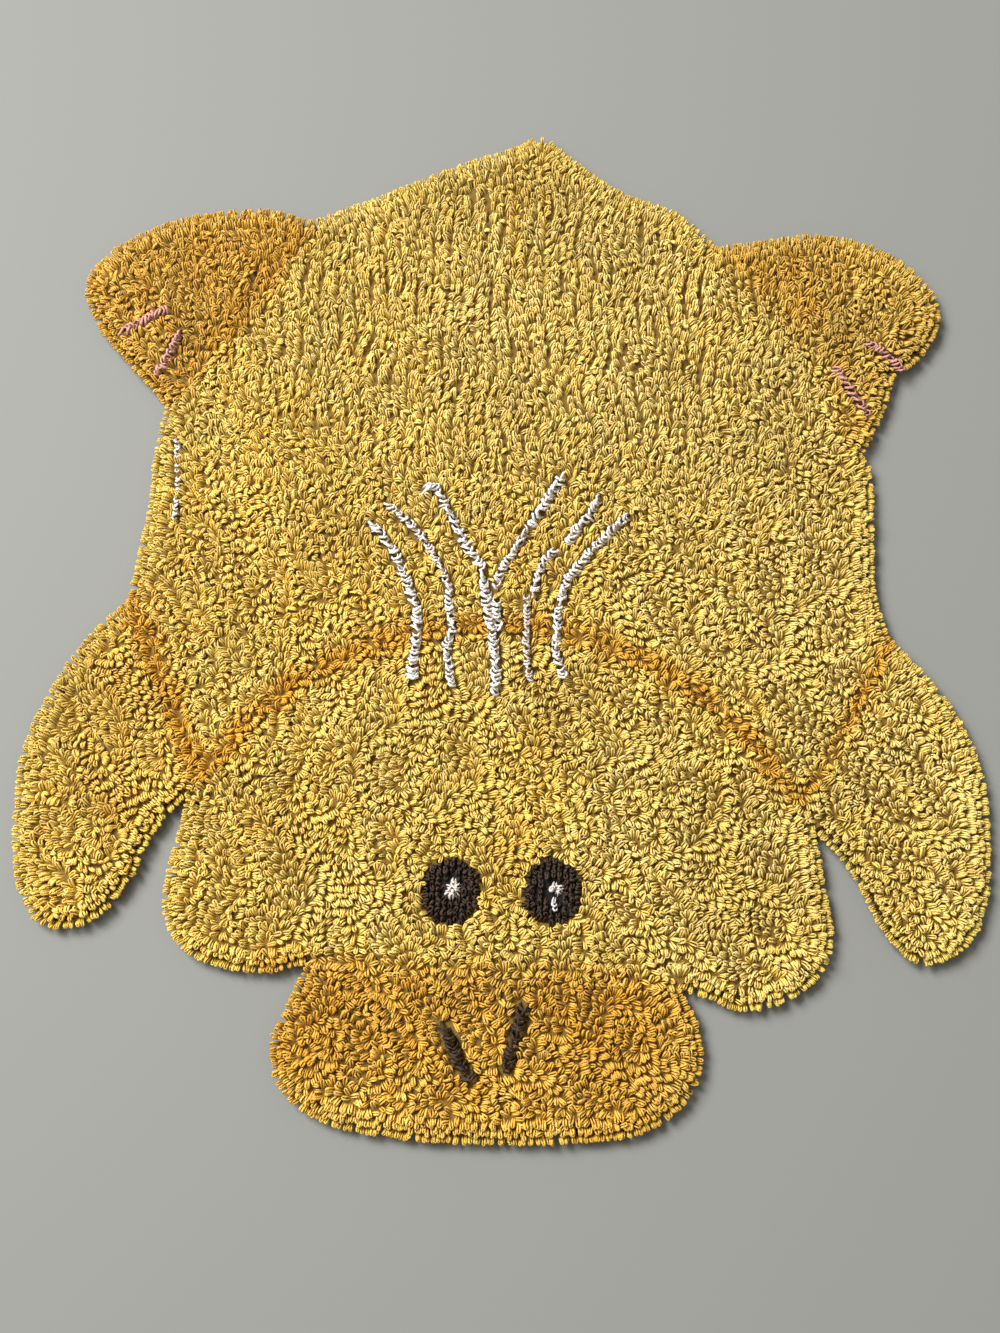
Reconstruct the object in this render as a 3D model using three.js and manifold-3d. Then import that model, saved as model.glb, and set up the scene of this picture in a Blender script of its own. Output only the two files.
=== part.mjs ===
// Looped cotton bath rug cut to the outline of a duckling seen from above, lying flat on the floor.
// Millimetres. +Z is up, +Y runs towards the tail, and the origin is on the floor under the middle of
// the rug. The bill is at -Y, and the wings and feet are on either side of it.

import * as THREE from "three";
import { mergeVertices } from "three/addons/utils/BufferGeometryUtils.js";
import Module from "manifold-3d";

// Driving dimensions
const PILE_HEIGHT = 13.2; // mean height of the pile above the floor
const LUMP_HEIGHT = 1.7; // how far the lumps rise above or fall below it
const LUMP_CELL = 16; // spacing of the points that carry the lumps
const LOCK_PITCH = 12; // from one rim lock to the next, along the edge
const LOCK_REACH = 6.5; // how far a lock stands out of the slab
const REACH_SPREAD = 0.2; // by what share one lock reaches further or less far than another
const HEIGHT_SPREAD = 0.15; // by what share its shoulder is higher or lower
const LOCK_LEAN = 0.25; // how far it leans along the edge, as a share of its reach
const NOTCH_CLEARANCE = 8; // no lock grows this close to a notch
const TAIL_TIP = { x: 5, y: 389, spread: 30, least: 0.3 }; // the rim is drawn in less around the tip
const MOST_LOCKS = 40; // no stretch of the edge has more locks than this
const MARGIN = 20; // how far the block that shapes the top reaches past the rug

// The rug's outer edge, clockwise from the left foot's notch. Each stretch starts at a notch and is
// smooth up to the next stretch's first point. Columns: x to the right, y towards the tail.
const EDGE = [
  {
    stretch: "tail",
    points: [
      [-176, 304], [-138, 322], [-97, 342], [-56, 363], [-14, 380],
      [5, 389], [29, 371], [72, 342], [116, 326],
    ],
  },
  {
    stretch: "right foot",
    points: [[148, 298], [180, 305], [224, 313], [264, 307], [296, 291], [317, 267], [322, 242], [307, 212]],
  },
  { stretch: "right heel", points: [[285, 193], [282, 178], [274, 155]] },
  { stretch: "right side", points: [[261, 128], [267, 116], [269, 66], [270, 18], [276, -2]] },
  {
    stretch: "right wing",
    points: [
      [280, -15], [305, -41], [330, -74], [346, -115], [350, -160],
      [347, -205], [333, -236], [300, -252], [274, -231], [251, -191],
    ],
  },
  {
    stretch: "right cheek",
    points: [[225, -161], [232, -200], [238, -237], [230, -262], [204, -283], [174, -290], [151, -283]],
  },
  {
    stretch: "bill",
    points: [
      [132, -278], [144, -302], [148, -326], [138, -352], [108, -375], [60, -384], [0, -388],
      [-62, -387], [-112, -379], [-141, -360], [-151, -330], [-142, -303],
    ],
  },
  {
    stretch: "left cheek",
    points: [
      [-131, -274], [-156, -281], [-188, -280], [-219, -268],
      [-235, -243], [-235, -212], [-230, -186],
    ],
  },
  {
    stretch: "left wing",
    points: [
      [-227, -160], [-246, -184], [-262, -224], [-288, -254], [-321, -256], [-342, -225],
      [-349, -180], [-349, -132], [-336, -90], [-313, -47],
    ],
  },
  { stretch: "left side", points: [[-285, -15], [-282, 20], [-278, 62], [-278, 104]] },
  {
    stretch: "left foot",
    points: [
      [-274, 140], [-294, 162], [-322, 190], [-342, 219], [-347, 243], [-328, 272],
      [-291, 296], [-246, 309], [-204, 312],
    ],
  },
];

// Section of the rim from the floor up. Columns: height, how far in from the slab's widest line, and
// what share of their reach the locks have there.
const RIM = [
  { height: 0, inset: 0.8, lock: 0.85 },
  { height: 3, inset: 0, lock: 1 },
  { height: 8.6, inset: 1.2, lock: 0.5 },
  { height: 18, inset: 8.5, lock: 0 },
];

// Where the points of one lock's outline lie, as shares of the pitch: the gap before it, then its tip.
const LOCK_OUTLINE = [
  { share: 0, tip: false },
  { share: 0.3, tip: true },
  { share: 0.7, tip: true },
];

// Soft troughs where the rows of loops part. Columns: centre line, depth, half width.
const NECK_ARC = { x: -2, y: -270, radius: 251, from: 32, to: 149 };
const TROUGHS = [
  { line: arcPoints(NECK_ARC), depth: 1.8, half: 10 },
  { line: [[-285, -15], [-262, -60], [-243, -100], [-220, -140]], depth: 1.6, half: 10 },
  { line: [[281, -16], [262, -58], [243, -98], [219, -133]], depth: 1.6, half: 10 },
  { line: [[-178, 302], [-210, 239], [-243, 189], [-274, 142]], depth: 1.5, half: 10 },
  { line: [[150, 296], [194, 253], [238, 182], [261, 130]], depth: 1.2, half: 10 },
  { line: [[-4, 378], [-8, 320], [-10, 262]], depth: 1.5, half: 10 },
  { line: [[-131, -272], [-60, -272], [60, -270], [131, -277]], depth: 1.3, half: 10 },
];

// The lumps are three crossing sets of soft waves. Columns: waves per metre along x and y, share, phase.
const WAVES = [
  { alongX: 15, alongY: 7, share: 0.4, phase: 0.4 },
  { alongX: -11, alongY: 12, share: 0.34, phase: 2.1 },
  { alongX: 3, alongY: -18, share: 0.26, phase: 4.0 },
];

const wasm = await Module();
wasm.setup();

/** Points along a circle's arc, with its ends given in degrees. */
function arcPoints({ x, y, radius, from, to }) {
  const steps = 10;
  return Array.from({ length: steps + 1 }, (_, i) => {
    const angle = THREE.MathUtils.degToRad(from + ((to - from) * i) / steps);
    return [x + radius * Math.cos(angle), y + radius * Math.sin(angle)];
  });
}

/** A repeatable number from -1 to 1 for a place in a sequence. */
function unevenness(index, kind) {
  const wave = Math.sin(index * 12.9898 + kind * 78.233) * 43758.5453;
  return 2 * (wave - Math.floor(wave)) - 1;
}

/** Points round the outer edge, three for each lock, with each point's part in its lock. */
function edgePoints() {
  return EDGE.flatMap(({ points }, stretch) => {
    const next = EDGE[(stretch + 1) % EDGE.length].points[0];
    const knots = [...points, next].map(([x, y]) => new THREE.Vector3(x, y, 0));
    const curve = new THREE.CatmullRomCurve3(knots, false, "centripetal");
    const locks = Math.max(2, Math.round(curve.getLength() / LOCK_PITCH));
    return Array.from({ length: locks }, (_, k) => k).flatMap((k) =>
      LOCK_OUTLINE.map(({ share, tip }) => {
        const at = curve.getPointAt((k + share) / locks);
        const clear = Math.min(at.distanceTo(knots[0]), at.distanceTo(knots.at(-1))) > NOTCH_CLEARANCE;
        return { at: new THREE.Vector2(at.x, at.y), lock: k + MOST_LOCKS * stretch, tip: tip && clear };
      }),
    );
  });
}

/** Unit vectors that point out of the rug, one at each edge point, halfway between its two sides. */
function outwardNormals(edge) {
  return edge.map(({ at }, i) => {
    const before = edge[(i + edge.length - 1) % edge.length].at;
    const after = edge[(i + 1) % edge.length].at;
    const into = at.clone().sub(before).normalize();
    const away = after.clone().sub(at).normalize();
    const along = into.add(away).normalize();
    return new THREE.Vector2(-along.y, along.x);
  });
}

/** A geometry as a closed solid. */
function solidOf(geometry) {
  geometry.deleteAttribute("normal");
  geometry.deleteAttribute("uv");
  const merged = mergeVertices(geometry, 1e-4);
  return new wasm.Manifold(
    new wasm.Mesh({
      numProp: 3,
      vertProperties: new Float32Array(merged.attributes.position.array),
      triVerts: new Uint32Array(merged.index.array),
    }),
  );
}

/** A closed geometry from rings of points, one above the other, all anticlockwise seen from above. */
function stackedRings(rings) {
  const count = rings[0].length;
  const positions = rings.flat().flatMap((p) => [p.x, p.y, p.z]);
  const flat = (ring) => THREE.ShapeUtils.triangulateShape(ring.map((p) => new THREE.Vector2(p.x, p.y)), []);
  const top = (rings.length - 1) * count;
  const faces = [
    ...flat(rings[0]).flatMap(([a, b, c]) => [c, b, a]),
    ...flat(rings.at(-1)).flatMap(([a, b, c]) => [top + a, top + b, top + c]),
  ];
  for (let r = 0; r < rings.length - 1; r++) {
    for (let i = 0; i < count; i++) {
      const a = r * count + i;
      const b = r * count + ((i + 1) % count);
      faces.push(a, b, b + count, a, b + count, a + count);
    }
  }
  const geometry = new THREE.BufferGeometry();
  geometry.setAttribute("position", new THREE.Float32BufferAttribute(positions, 3));
  geometry.setIndex(faces);
  return geometry;
}

/** One ring of the rim: each edge point drawn in to the slab, or out along its lock. */
function rimRing(edge, normals, { height, inset, lock: share }) {
  const ring = edge.map(({ at, lock, tip }, i) => {
    const fromTip = Math.hypot(at.x - TAIL_TIP.x, at.y - TAIL_TIP.y) / TAIL_TIP.spread;
    const room = Math.min(1, TAIL_TIP.least + fromTip);
    const reach = tip ? share * LOCK_REACH * (1 + REACH_SPREAD * unevenness(lock, 1)) : 0;
    const out = normals[i].clone().multiplyScalar((reach - LOCK_REACH - inset) * room);
    const sideways = new THREE.Vector2(normals[i].y, -normals[i].x);
    const lean = sideways.multiplyScalar(LOCK_LEAN * reach * unevenness(lock, 2));
    const place = at.clone().add(out).add(lean);
    const lift = tip ? 1 + HEIGHT_SPREAD * unevenness(lock, 3) * share : 1;
    return new THREE.Vector3(place.x, place.y, height * lift);
  });
  return ring.reverse();
}

/** The slab with its rounded rim and its locks, taller than the pile. */
function slab(edge) {
  const normals = outwardNormals(edge);
  return solidOf(stackedRings(RIM.map((row) => rimRing(edge, normals, row))));
}

/** How deep the troughs are at a point. */
function troughDepth(x, y) {
  const point = new THREE.Vector3(x, y, 0);
  const nearest = new THREE.Vector3();
  return TROUGHS.reduce((deepest, { line, depth, half }) => {
    let gap = Infinity;
    for (let i = 0; i < line.length - 1; i++) {
      const start = new THREE.Vector3(...line[i], 0);
      const end = new THREE.Vector3(...line[i + 1], 0);
      new THREE.Line3(start, end).closestPointToPoint(point, true, nearest);
      gap = Math.min(gap, nearest.distanceTo(point));
    }
    return Math.max(deepest, depth * Math.exp(-((gap / half) ** 2)));
  }, 0);
}

/** Height of the pile at a point: the mean, the lumps and the troughs. */
function pileTop(x, y) {
  const lumps = WAVES.reduce((sum, { alongX, alongY, share, phase }) => {
    const turn = (2 * Math.PI * (x * alongX + y * alongY)) / 1000 + phase;
    return sum + share * Math.sin(turn);
  }, 0);
  return PILE_HEIGHT + LUMP_HEIGHT * lumps - troughDepth(x, y);
}

/** A block larger than the rug whose top is the pile's lumpy surface. */
function pileBlock(edge) {
  const box = new THREE.Box2().setFromPoints(edge.map(({ at }) => at)).expandByScalar(MARGIN);
  const size = box.getSize(new THREE.Vector2());
  const middle = box.getCenter(new THREE.Vector2());
  const across = Math.round(size.x / LUMP_CELL);
  const along = Math.round(size.y / LUMP_CELL);
  const geometry = new THREE.BoxGeometry(size.x, size.y, 2 * MARGIN, across, along, 1);
  geometry.translate(middle.x, middle.y, 0);
  const place = geometry.attributes.position;
  for (let i = 0; i < place.count; i++) {
    if (place.getZ(i) > 0) {
      place.setZ(i, pileTop(place.getX(i), place.getY(i)));
    }
  }
  return solidOf(geometry);
}

/** The rug as one mesh: the slab with its locks, with its top cut to the pile's surface. */
function rug() {
  const edge = edgePoints();
  const { numProp, vertProperties, triVerts } = slab(edge).intersect(pileBlock(edge)).getMesh();
  const geometry = new THREE.BufferGeometry();
  geometry.setAttribute("position", new THREE.BufferAttribute(vertProperties, numProp));
  geometry.setIndex(new THREE.BufferAttribute(triVerts, 1));
  geometry.computeVertexNormals();
  const cotton = new THREE.MeshStandardMaterial({ color: 0xd9b45c, roughness: 0.95, metalness: 0 });
  const mesh = new THREE.Mesh(geometry, cotton);
  mesh.name = "tufted_rug";
  return mesh;
}

const part = new THREE.Group();
part.add(rug());

export default part;
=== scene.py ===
"""Dress a looped cotton bath rug, cut to the outline of a duckling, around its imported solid.

The rug is one backing cloth with about twenty-five thousand loops of yarn tufted into it. Sizes in
the tables are millimetres in the frame of the solid: x to the right, y towards the tail, z up from
the floor, with the origin under the middle of the rug. Meshes are made in metres.
"""

import logging
from dataclasses import dataclass, field, replace
from enum import Enum

import bmesh
import bpy
import numpy as np
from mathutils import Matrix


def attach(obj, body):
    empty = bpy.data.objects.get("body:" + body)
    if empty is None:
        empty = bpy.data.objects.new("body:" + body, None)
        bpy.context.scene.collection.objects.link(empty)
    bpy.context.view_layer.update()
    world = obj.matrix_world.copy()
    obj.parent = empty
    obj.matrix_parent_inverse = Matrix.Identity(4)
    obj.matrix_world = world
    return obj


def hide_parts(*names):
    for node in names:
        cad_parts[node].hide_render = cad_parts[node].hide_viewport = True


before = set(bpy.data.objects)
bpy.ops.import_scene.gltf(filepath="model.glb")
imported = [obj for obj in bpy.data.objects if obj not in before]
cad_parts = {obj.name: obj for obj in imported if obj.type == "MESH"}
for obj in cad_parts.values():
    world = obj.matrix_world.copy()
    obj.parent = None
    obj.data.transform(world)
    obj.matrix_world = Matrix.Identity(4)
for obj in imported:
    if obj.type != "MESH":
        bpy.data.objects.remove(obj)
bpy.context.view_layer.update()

MM = 0.001
BODY = "root"
SOLID = "tufted_rug"
SEED = 417
HALF_WIDTH = 350
UP = np.array([0, 0, 1.0])

# how far along the way from its root to its top a loop shows, and the least that it leans
SHOWN_SHARE = 0.62
LEAST_LEAN = 0.02

# how many places are compared with all marks at once
BLOCK = 1000

Point = tuple[float, float]
Place = tuple[float, float, float]
Colour = tuple[float, float, float]

logging.basicConfig(level=logging.INFO, format="%(message)s")
log = logging.getLogger("rug")


class Zone(Enum):
    """The parts of the duckling that a maker tufts one after another."""

    BODY = "body"
    HEAD = "head"
    BILL = "bill"
    LEFT_WING = "left_wing"
    RIGHT_WING = "right_wing"
    LEFT_FOOT = "left_foot"
    RIGHT_FOOT = "right_foot"


def ways(angles: np.ndarray) -> np.ndarray:
    """Return a step of length 1 at each angle: its cosine and its sine."""
    return np.stack([np.cos(angles), np.sin(angles)], axis=-1)


def circle(count: int) -> np.ndarray:
    """Return a number of points evenly round a circle of radius 1."""
    return ways(np.linspace(0, 2 * np.pi, count, endpoint=False))


def smooth_line(knots: np.ndarray, spacing: float, steps: int = 24) -> np.ndarray:
    """Run a centripetal Catmull-Rom curve through knots and space its points evenly.

    Each span is the usual pyramid of straight blends between four knots, whose times are the running
    sums of the square roots of their distances.

    Args:
        knots: The points that the curve goes through, one row each.
        spacing: About how far apart the points returned are.
        steps: How many points are worked out in each span, before they are spaced evenly.

    Returns:
        Points along the curve, both ends included.
    """
    knots = np.asarray(knots, float)
    before, after = 2 * knots[0] - knots[1], 2 * knots[-1] - knots[-2]
    p = np.vstack([before, knots, after])
    t = np.concatenate([[0], np.cumsum(np.sqrt(np.linalg.norm(np.diff(p, axis=0), axis=1)))])
    spans = len(knots) - 1
    at = np.arange(spans)[:, None]
    u = t[at + 1] + (t[at + 2] - t[at + 1]) * np.linspace(0, 1, steps, endpoint=False)

    def blend(low: np.ndarray, high: np.ndarray, i: int, j: int) -> np.ndarray:
        """Blend two rows of points between times i and j after the span's first knot."""
        share = ((u - t[at + i]) / (t[at + j] - t[at + i]))[..., None]
        return (1 - share) * low + share * high

    a = [blend(p[at + i], p[at + i + 1], i, i + 1) for i in range(3)]
    b = [blend(a[i], a[i + 1], i, i + 2) for i in range(2)]
    curve = np.vstack([blend(b[0], b[1], 1, 2).reshape(-1, 2), knots[-1:]])
    run = np.concatenate([[0], np.cumsum(np.linalg.norm(np.diff(curve, axis=0), axis=1))])
    count = max(2, round(run[-1] / spacing) + 1)
    even = np.linspace(0, run[-1], count)
    return np.stack([np.interp(even, run, curve[:, k]) for k in range(2)], axis=1)


def headings(line: np.ndarray, closed: bool = False) -> np.ndarray:
    """Return the angle of travel at each point of a line, from the points on either side of it.

    Args:
        line: The line's points, one row each.
        closed: Whether the last point is followed by the first.

    Returns:
        One angle a point.
    """
    if closed:
        step = np.roll(line, -1, axis=0) - np.roll(line, 1, axis=0)
    else:
        step = np.gradient(line, axis=0)
    return np.arctan2(step[:, 1], step[:, 0])


def gaps(places: np.ndarray, marks: np.ndarray) -> np.ndarray:
    """Return how far each place is from the nearest mark, worked out a block of places at a time.

    Args:
        places: The places, one row each.
        marks: The marks, one row each.

    Returns:
        One distance a place, or infinity if there are no marks.
    """
    if not len(marks):
        return np.full(len(places), np.inf)
    parts = [
        np.sqrt(((places[i : i + BLOCK, None] - marks[None]) ** 2).sum(-1)).min(1)
        for i in range(0, len(places), BLOCK)
    ]
    return np.concatenate(parts) if parts else np.zeros(0)


def pull(places: np.ndarray, marks: np.ndarray, reach: float, strength: float) -> np.ndarray:
    """Return a pull from each place towards its nearest mark, which fades as a bell with distance.

    Args:
        places: The places, one row each.
        marks: The marks, one row each.
        reach: The distance at which the pull has faded to about a third.
        strength: The pull's length on a mark.

    Returns:
        One step a place.
    """
    found = np.zeros_like(places)
    least = 0.2
    for i in range(0, len(places), BLOCK):
        step = marks[None] - places[i : i + BLOCK, None]
        away = np.sqrt((step**2).sum(-1))
        nearest = away.argmin(1)
        rows = np.arange(len(nearest))
        length = np.maximum(away[rows, nearest], least)[:, None]
        found[i : i + BLOCK] = strength * np.exp(-((length / reach) ** 2)) * step[rows, nearest] / length
    return found


def within(places: np.ndarray, corners: np.ndarray) -> np.ndarray:
    """Tell which places are inside a closed line: a ray to the right crosses it an odd number of times.

    Args:
        places: The places, one row each.
        corners: The line's points, one row each.

    Returns:
        True for each place inside.
    """
    corners = np.asarray(corners, float)
    x0, y0 = corners.T
    x1, y1 = np.roll(corners, -1, axis=0).T
    found = np.zeros(len(places), bool)
    for i in range(0, len(places), BLOCK):
        x, y = places[i : i + BLOCK].T[..., None]
        spans = (y0 > y) != (y1 > y)
        rise = np.where(y1 == y0, 1e-9, y1 - y0)
        found[i : i + BLOCK] = (spans & (x < (x1 - x0) * (y - y0) / rise + x0)).sum(1) % 2 == 1
    return found


class Ground:
    """A map of the rug in small squares, which remembers where there is no more room."""

    margin = 20

    def __init__(self, low: np.ndarray, high: np.ndarray, square: float = 0.4) -> None:
        """Start a free map.

        Args:
            low: The least x and y on it.
            high: The greatest.
            square: The width of a square.
        """
        self.low = np.asarray(low) - self.margin
        self.square = square
        size = np.asarray(high) + self.margin - self.low
        self.full = np.zeros(np.ceil(size / square).astype(int), bool)

    def squares(self, places: np.ndarray) -> np.ndarray:
        """Return the row and column of the square that each place is in."""
        return ((places - self.low) / self.square).astype(int).clip(0, np.array(self.full.shape) - 1)

    def mark(self, places: np.ndarray, radius: float) -> None:
        """Fill a disc round each place.

        Args:
            places: The discs' middles.
            radius: Their radius.
        """
        reach = int(radius / self.square)
        steps = np.mgrid[-reach : reach + 1, -reach : reach + 1].reshape(2, -1).T
        steps = steps[np.linalg.norm(steps, axis=1) * self.square <= radius]
        for step in steps:
            row, column = self.squares(places + step * self.square).T
            self.full[row, column] = True

    def free(self, places: np.ndarray) -> np.ndarray:
        """Tell which places have room."""
        row, column = self.squares(places).T
        return ~self.full[row, column]


@dataclass(frozen=True)
class SoftNoise:
    """A smooth, repeatable unevenness: a dozen sine waves that cross in all directions."""

    wavelength: float
    seed: int
    count: int = 12
    spread: tuple[float, float] = (0.7, 1.6)
    level: float = 0.7

    def at(self, places: np.ndarray) -> np.ndarray:
        """Return about -1 to 1 at each place: the waves' sum, scaled by the root of their number.

        Args:
            places: The places, one row each.

        Returns:
            One number a place.
        """
        rng = np.random.default_rng(self.seed)
        turn = rng.uniform(0, 2 * np.pi, self.count)
        length = self.wavelength * rng.uniform(*self.spread, self.count)
        phase = rng.uniform(0, 2 * np.pi, self.count)
        waves = 2 * np.pi * np.stack([np.cos(turn), np.sin(turn)]) / length
        return np.sin(places @ waves + phase).sum(1) / np.sqrt(self.count / 2) * self.level


@dataclass(frozen=True)
class Spread:
    """How much a number differs from loop to loop: a bell round its middle, cut off below and above."""

    middle: float
    width: float
    least: float = -np.inf
    most: float = np.inf

    def draw(self, rng: np.random.Generator, count: int) -> np.ndarray:
        """Draw one number for each loop."""
        return rng.normal(self.middle, self.width, count).clip(self.least, self.most)


@dataclass(frozen=True)
class Outline:
    """The rug's outer edge, clockwise from the left foot's notch, in smooth stretches.

    Each stretch starts at a notch and ends at the next stretch's first point.
    """

    stretches: tuple[tuple[Point, ...], ...] = (
        # tail
        ((-176, 304), (-138, 322), (-97, 342), (-56, 363), (-14, 380), (5, 389), (29, 371), (72, 342),
         (116, 326)),
        # right foot, heel and side
        ((148, 298), (180, 305), (224, 313), (264, 307), (296, 291), (317, 267), (322, 242), (307, 212)),
        ((285, 193), (282, 178), (274, 155)),
        ((261, 128), (267, 116), (269, 66), (270, 18), (276, -2)),
        # right wing
        ((280, -15), (305, -41), (330, -74), (346, -115), (350, -160), (347, -205), (333, -236),
         (300, -252), (274, -231), (251, -191)),
        # right cheek
        ((225, -161), (232, -200), (238, -237), (230, -262), (204, -283), (174, -290), (151, -283)),
        # bill
        ((132, -278), (144, -302), (148, -326), (138, -352), (108, -375), (60, -384), (0, -388),
         (-62, -387), (-112, -379), (-141, -360), (-151, -330), (-142, -303)),
        # left cheek
        ((-131, -274), (-156, -281), (-188, -280), (-219, -268), (-235, -243), (-235, -212), (-230, -186)),
        # left wing
        ((-227, -160), (-246, -184), (-262, -224), (-288, -254), (-321, -256), (-342, -225), (-349, -180),
         (-349, -132), (-336, -90), (-313, -47)),
        # left side and foot
        ((-285, -15), (-282, 20), (-278, 62), (-278, 104)),
        ((-274, 140), (-294, 162), (-322, 190), (-342, 219), (-347, 243), (-328, 272), (-291, 296),
         (-246, 309), (-204, 312)),
    )
    spacing: float = 1.6
    row_slack: float = 0.35

    def line(self) -> np.ndarray:
        """Return the whole edge as one closed line of evenly spaced points."""
        ends = [stretch[0] for stretch in self.stretches[1:] + self.stretches[:1]]
        runs = [
            smooth_line([*stretch, end], self.spacing)[:-1]
            for stretch, end in zip(self.stretches, ends, strict=True)
        ]
        return np.vstack(runs)

    def drawn_in(self, inset: float, slack: float) -> tuple[np.ndarray, np.ndarray, np.ndarray]:
        """Move the edge inwards along its normals.

        Args:
            inset: How far inside the edge the line runs.
            slack: How much nearer to the edge than that a sound point may lie.

        Returns:
            The moved points, the angle at each that points out of the rug, and which points are sound.
        """
        edge = self.line()
        out = headings(edge, closed=True) + np.pi / 2
        moved = edge - inset * ways(out)
        return moved, out, gaps(moved, edge) > inset - slack

    def inset_row(self, inset: float, pitch: float) -> tuple[np.ndarray, np.ndarray]:
        """Lay a row of stitches all along the edge, a fixed way inside it.

        What lies nearer to the edge than it should, once the edge is drawn in, is left out, and the
        rest is spaced evenly.

        Args:
            inset: How far inside the edge the row runs.
            pitch: The distance from stitch to stitch.

        Returns:
            The stitches' places, and the angle at each that points out of the rug.
        """
        moved, out, sound = self.drawn_in(inset, self.row_slack)
        steps = np.linalg.norm(moved - np.roll(moved, 1, axis=0), axis=1)
        run = np.cumsum(np.where(sound, np.minimum(steps, pitch), 0))
        fresh = np.floor(run / pitch) != np.floor(np.roll(run, 1) / pitch)
        chosen = sound & fresh
        return moved[chosen], out[chosen]


EDGE = Outline()


@dataclass(frozen=True)
class Border:
    """Where one zone ends: a line of knots, closed round the zone by far corners."""

    zone: Zone
    knots: tuple[Point, ...]
    corners: tuple[Point, ...]
    spacing: float = 4.0

    def holds(self, places: np.ndarray) -> np.ndarray:
        """Tell which places are in the zone."""
        return within(places, np.vstack([smooth_line(self.knots, self.spacing), self.corners]))


LEFT_WING_LINE = ((-284, -16), (-266, -46), (-257, -69), (-244, -91), (-235, -113), (-219, -143))
RIGHT_WING_LINE = ((280, -17), (268, -46), (256, -69), (246, -88), (237, -110), (218, -134))
NECK_CENTRE, NECK_RADIUS = (-2, -270), 249
NECK_TURN, NECK_KNOTS = (149, 32), 13

BORDERS = (
    Border(Zone.BILL, ((-140, -266), (-100, -270), (-60, -272), (0, -272), (70, -271), (140, -279)),
           ((170, -280), (170, -420), (-170, -420), (-170, -270))),
    Border(Zone.LEFT_WING, LEFT_WING_LINE, ((-227, -162), (-227, -300), (-400, -300), (-400, -15))),
    Border(Zone.RIGHT_WING, RIGHT_WING_LINE, ((226, -162), (226, -300), (400, -300), (400, -16))),
    Border(Zone.LEFT_FOOT,
           ((-176, 318), (-176, 296), (-192, 264), (-209, 233), (-224, 207), (-243, 179), (-276, 137)),
           ((-400, 115), (-400, 400), (-176, 400))),
    Border(Zone.RIGHT_FOOT, ((146, 310), (149, 290), (192, 250), (220, 214), (241, 173), (262, 125)),
           ((400, 105), (400, 400), (146, 400))),
)


def zones(places: np.ndarray) -> np.ndarray:
    """Return the zone of each place: that of the first border that holds it, or the head or the body.

    The head is the inside of the neck's circle.

    Args:
        places: The places, one row each.

    Returns:
        One zone a place.
    """
    found = np.full(len(places), Zone.BODY, object)
    away = np.linalg.norm(places - NECK_CENTRE, axis=1)
    found[away < NECK_RADIUS] = Zone.HEAD
    for border in reversed(BORDERS):
        found[border.holds(places)] = border.zone
    return found


@dataclass
class Loops:
    """A set of tufted loops, one array entry each. Lengths are millimetres and angles radians."""

    root: np.ndarray
    base: np.ndarray
    plane: np.ndarray
    lean_to: np.ndarray
    lean: np.ndarray
    twist: np.ndarray
    height: np.ndarray
    half: np.ndarray
    yarn: np.ndarray
    shade: np.ndarray

    @property
    def reach(self) -> np.ndarray:
        """Return how far sideways each loop's top is from its root: that of an arc of its height."""
        lean = np.maximum(self.lean, LEAST_LEAN)
        return self.height / lean * (1 - np.cos(lean))

    @property
    def shown(self) -> np.ndarray:
        """Return the middle of the part of each loop that shows from above."""
        return self.root + SHOWN_SHARE * self.reach[:, None] * ways(self.lean_to)

    def take(self, chosen: np.ndarray) -> "Loops":
        """Return the chosen loops."""
        return Loops(**{name: values[chosen] for name, values in vars(self).items()})

    @staticmethod
    def joined(sets: list["Loops"]) -> "Loops":
        """Return several sets as one."""
        names = vars(sets[0])
        return Loops(**{name: np.concatenate([getattr(one, name) for one in sets]) for name in names})


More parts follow.
